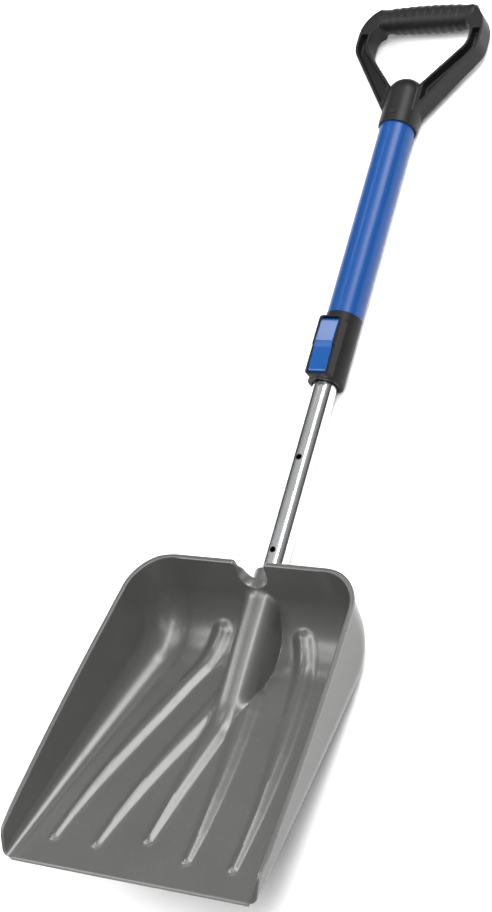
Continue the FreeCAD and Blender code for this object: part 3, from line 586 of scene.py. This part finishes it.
# ---- Bush and cross pin ------------------------------------------------------------------------
# The bush is a capped plug turned from white acetal, on the lower tube's end inside the upper tube.
# A zinc-plated steel pin goes across it.
acetal = Finish("white_acetal", Roughness=0.45, Subsurface_Weight=0.05)
turning = acetal.noise(1.0, 2.0, (60, 2500, 60))
acetal.feed(Base_Color=acetal.blend(acetal.noise(40.0), colour(0.68, 0.67, 0.62), colour(0.78, 0.77, 0.73)))
acetal.bump(turning, 0.00002, 0.5)
zinc = Finish("zinc_plate", Metallic=1.0)
spangle = zinc.noise(700.0, 4.0)
zinc.feed(Base_Color=zinc.blend(spangle, colour(0.5, 0.5, 0.51), colour(0.66, 0.66, 0.64)),
          Roughness=0.25 + spangle * 0.2)
finish_node("guide_bush", acetal)
for node in ("bush_pin", "rocker_pivot_pin", "lock_pin"):
    finish_node(node, zinc)

# ---- Upper tube --------------------------------------------------------------------------------
# 38.1 mm steel tube, powder coated blue with a satin gloss and a very fine orange peel.
blue_coat = Finish("blue_powder_coat", Specular_IOR_Level=0.25, Coat_Weight=0.05, Coat_Roughness=0.15)
peel = blue_coat.noise(450.0, 2.0)
drift = blue_coat.noise(14.0, 3.0)
blue_coat.feed(Base_Color=blue_coat.blend(drift, colour(0.001, 0.037, 0.155), colour(0.002, 0.044, 0.18)),
               Roughness=0.3 + drift * 0.05 + peel * 0.05)
blue_coat.bump(peel, 0.00004, 0.35)
finish_node("upper_tube", blue_coat)

# ---- Lock housing and bezel --------------------------------------------------------------------
# Black glass-filled nylon mouldings: the round-backed housing, pressed into the upper tube, the
# frame snapped round its pocket, and a liner sleeve in its lower end that slides on the lower tube.
black_nylon = Finish("black_nylon", Specular_IOR_Level=0.13)
spark = black_nylon.noise(1500.0, 2.0)
patch = black_nylon.noise(35.0, 3.0)
black_nylon.feed(Base_Color=black_nylon.blend(patch, colour(0.006, 0.006, 0.0062),
                                              colour(0.011, 0.011, 0.011)),
                 Roughness=0.36 + patch * 0.08 + spark * 0.08)
black_nylon.bump(spark, 0.00007, 0.5)


def moulded(name, node, finish, body, voxel, softening, extra=None):
    """A finely meshed copy of a CAD node's form with its edges rounded, which stands for it."""
    piece = bpy.data.objects.new(name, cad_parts[node].data.copy())
    bpy.context.collection.objects.link(piece)
    even = piece.modifiers.new("even", "REMESH")
    even.mode, even.voxel_size = "VOXEL", voxel / 1000
    soften = piece.modifiers.new("soften", "SMOOTH")
    soften.factor, soften.iterations = 0.5, softening
    evaluated = piece.evaluated_get(bpy.context.evaluated_depsgraph_get())
    made = bpy.data.meshes.new_from_object(evaluated)
    piece.modifiers.clear()
    piece.data = made
    if extra:
        work = bmesh.new()
        work.from_mesh(made)
        extra(work)
        work.to_mesh(made)
        work.free()
    return show(piece, finish, body, (node,), 180)


finish_node("guide_liner", black_nylon)
moulded("lock_housing_moulding", "lock_housing", black_nylon, "handle",
        voxel=0.5, softening=4)
moulded("bezel_frame", "lock_bezel", black_nylon, "handle", voxel=0.32, softening=3)

# ---- Release rocker ----------------------------------------------------------------------------
# Glossy blue ABS rocker on a steel pivot pin. Its raised upper half is pressed to lift the lock
# pin, which is fixed in its lower end.
blue_gloss = Finish("blue_gloss_abs", Specular_IOR_Level=0.3, Coat_Weight=0.25, Coat_Roughness=0.05)
swirl = blue_gloss.noise(60.0, 3.0)
blue_gloss.feed(Base_Color=blue_gloss.blend(swirl, colour(0.0, 0.04, 0.165), colour(0.0005, 0.05, 0.195)),
                Roughness=0.16 + swirl * 0.08)
blue_gloss.bump(blue_gloss.noise(300.0), 0.00003, 0.2)
moulded("rocker_button", "release_rocker", blue_gloss, "rocker", voxel=0.32,
        softening=4)

# ---- Return spring -----------------------------------------------------------------------------
# Music wire wound into four turns with closed ends, seated between the housing and the rocker's
# raised half. It shortens as the rocker tips.
SPRING_AT = 395.49 + HANDLE_START
SPRING_LOW, SPRING_HIGH = 36.35, 43.4
SPRING_COIL_R, WIRE_R, SPRING_TURNS = 2.6, 0.4, 4
STEPS_PER_TURN, WIRE_SIDES = 40, 12
spring_wire = Finish("music_wire", Metallic=1.0)
drawn = spring_wire.noise(1200.0, 3.0)
spring_wire.feed(Base_Color=spring_wire.blend(drawn, colour(0.34, 0.34, 0.35), colour(0.48, 0.48, 0.48)),
                 Roughness=0.22 + drawn * 0.15)
along = np.linspace(0, 1, STEPS_PER_TURN * (SPRING_TURNS + 1))
turn = along * (SPRING_TURNS + 1) * 2 * math.pi
travel = rise((along * (SPRING_TURNS + 1) - 0.5) / SPRING_TURNS)
low, high = SPRING_LOW + WIRE_R, SPRING_HIGH - WIRE_R
line = np.stack([SPRING_COIL_R * np.cos(turn), SPRING_COIL_R * np.sin(turn), low + (high - low) * (
    0.5 * travel + 0.5 * along)], -1)
outward = np.stack([np.cos(turn), np.sin(turn), 0 * turn], -1)
upward = np.array([0, 0, 1.0])
ring = np.arange(WIRE_SIDES) * 2 * math.pi / WIRE_SIDES
tube = line[:, None] + WIRE_R * (outward[:, None] * np.cos(ring)[None, :, None]
                                 + upward * np.sin(ring)[None, :, None])
ends = [np.repeat(line[k][None, None], WIRE_SIDES, 1) for k in (0, -1)]
tube = np.concatenate([ends[0], tube, ends[1]]) + np.array([0, SPRING_AT, 0])
spring = Mesher()
spring.grid(tube / 1000, around=True)
spring = spring.make("rocker_spring", spring_wire, "handle", "spring_steel", ("return_spring",))
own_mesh(spring)

# ---- D grip ------------------------------------------------------------------------------------
# One black polypropylene moulding: a domed socket over the tube, two channelled arms with a fine
# spark-eroded grain, and a swollen hand bar with nine raised rings.
BAR_T = 794.99
BAR_R, BAR_END_R, BAR_REACH = 15.5, 13.2, 58.0
BAR_HALF = 51.6
BAR_SLIM_R = 12.0
ARM_TOP_R, ARM_TOP_FROM, ARM_TOP_TO, ARM_TOP_SLOPE = 13.8, 53.0, 75.0, 0.3
RINGS, RING_PITCH, RING_HALF_WIDTH, RING_ROOT, RING_RISE = 9, 9.6, 2.6, 0.35, 0.5
BAR_CAP_R, BAR_SIDES = 9.0, 72
grip_plastic = Finish("black_polypropylene", Specular_IOR_Level=0.2)
erosion = grip_plastic.noise(1100.0, 3.0)
wear = grip_plastic.noise(30.0, 4.0)
grip_plastic.feed(Base_Color=grip_plastic.blend(wear, colour(0.006, 0.006, 0.006),
                                                colour(0.011, 0.011, 0.0108)),
                  Roughness=0.34 + wear * 0.1 + erosion * 0.1)
grip_plastic.bump(erosion, 0.0001, 0.5)


def slim_bar(work):
    """Draws the hand bar in under the separate ring profile, and rounds the arms' tops into it."""
    for vertex in work.verts:
        x, y, z = (vertex.co * 1000)[:]
        across = Vector((0, y - BAR_T - HANDLE_START, z - REST_HEIGHT))
        limit = across.length
        if abs(x) < BAR_HALF - 2 and limit < BAR_R + 1:
            limit = BAR_SLIM_R
        elif across.y > 0 and abs(x) < ARM_TOP_TO:
            limit = ARM_TOP_R + max(abs(x) - ARM_TOP_FROM, 0) * ARM_TOP_SLOPE
        if limit < across.length:
            slim = across.normalized() * limit
            vertex.co = Vector((x, slim.y + BAR_T + HANDLE_START, slim.z + REST_HEIGHT)) / 1000


moulded("grip_moulding", "d_grip", grip_plastic, "handle", voxel=0.85, softening=4,
        extra=slim_bar)
xs = np.linspace(-BAR_HALF, BAR_HALF, 361)
core = BAR_R - (BAR_R - BAR_END_R) * (xs / BAR_REACH) ** 2
centres = (np.arange(RINGS) - (RINGS - 1) / 2) * RING_PITCH
near = np.abs(xs[:, None] - centres).min(1)
ridge = np.sqrt(np.clip(1 - (near / RING_HALF_WIDTH) ** 2, 0, 1))
radii = core - RING_ROOT + RING_RISE * ridge
radii[0] = radii[-1] = BAR_CAP_R
angle = np.arange(BAR_SIDES) * 2 * math.pi / BAR_SIDES
bar = Mesher()
bar.grid(np.stack([np.repeat(xs[:, None], BAR_SIDES, 1),
                   radii[:, None] * np.cos(angle) + BAR_T + HANDLE_START,
                   radii[:, None] * np.sin(angle) + REST_HEIGHT], -1) / 1000, around=True)
bar.make("grip_bar_rings", grip_plastic, "handle", "black_plastic", crease=70)

# ---- Screws and rivets -------------------------------------------------------------------------
# Two zinc pan-head screws with cross recesses hold the scoop from behind; a zinc rivet holds the
# housing in the upper tube, and a black drive rivet the grip.
HEAD_R, SHANK_R = 3.8, 2.0
SEAT_GAP = 0.06
CROSS_DEPTH, CROSS_ARM_HALF, CROSS_REACH = 1.3, 0.75, 2.1
DIMPLE_DEPTH, DIMPLE_R = 0.4, 1.2


def fastener(name, node, finish, body, slot, t, side, seat_r, height, shank_to, recess):
    """Domed head on a round surface, with a cross recess or a dimple, and its shank."""
    share = np.concatenate([np.linspace(0, 0.86, 22), [0.9, 0.94, 0.97, 0.99, 1.0]])
    around = np.arange(64) * 2 * math.pi / 64
    x = HEAD_R * share[:, None] * np.cos(around)
    y = HEAD_R * share[:, None] * np.sin(around)
    dome = height * np.sqrt(np.clip(1 - 0.9 * share ** 4, 0, 1))[:, None] + 0 * x
    far = np.hypot(x, y)
    if recess == "cross":
        arm = np.minimum(np.abs(x), np.abs(y))
        dome -= CROSS_DEPTH * rise((CROSS_ARM_HALF - arm) / 0.35) * rise((CROSS_REACH - far) / 0.5)
    else:
        dome -= DIMPLE_DEPTH * rise((DIMPLE_R - far) / 0.7)
    top = seat_r + dome
    rim_x, rim_y = x[-1:], y[-1:]
    root_x = rim_x * SHANK_R / HEAD_R
    seat = np.sqrt(seat_r ** 2 - rim_x ** 2) + SEAT_GAP
    root = np.sqrt(seat_r ** 2 - root_x ** 2) + SEAT_GAP
    layers = [np.stack([x, y, top], -1)]
    for radius, level in ((HEAD_R, seat + 0.5 * (top[-1:] - seat)), (HEAD_R, seat), (SHANK_R, root),
                          (SHANK_R, shank_to + 0.4), (SHANK_R - 0.3, shank_to), (0.0, shank_to)):
        layers.append(np.stack([rim_x * radius / HEAD_R, rim_y * radius / HEAD_R, 0 * rim_x + level], -1))
    points = np.concatenate(layers)
    points = points * np.array([1, 1, side]) + np.array([0, t + HANDLE_START, REST_HEIGHT])
    made = Mesher()
    made.grid(points / 1000, flip=side < 0, around=True)
    made.make(name, finish, body, slot, (node,), crease=50)


for name, node, t in (("collar_screw_upper", "scoop_screw_upper", COLLAR_END - 8),
                      ("collar_screw_lower", "scoop_screw_lower", COLLAR_END - 20)):
    fastener(name, node, zinc, "scoop_and_lower_tube", "zinc_steel",
             t=t, side=-1, seat_r=COLLAR_R, height=2.1, shank_to=9.5, recess="cross")
fastener("spigot_rivet", "housing_rivet", zinc, "handle", "zinc_steel",
         t=427.99, side=-1, seat_r=19.05, height=1.15, shank_to=13.7, recess="dimple")
fastener("socket_rivet", "grip_rivet", grip_plastic, "handle", "black_plastic",
         t=661.99, side=1, seat_r=21.5, height=1.15, shank_to=17.9, recess="dimple")
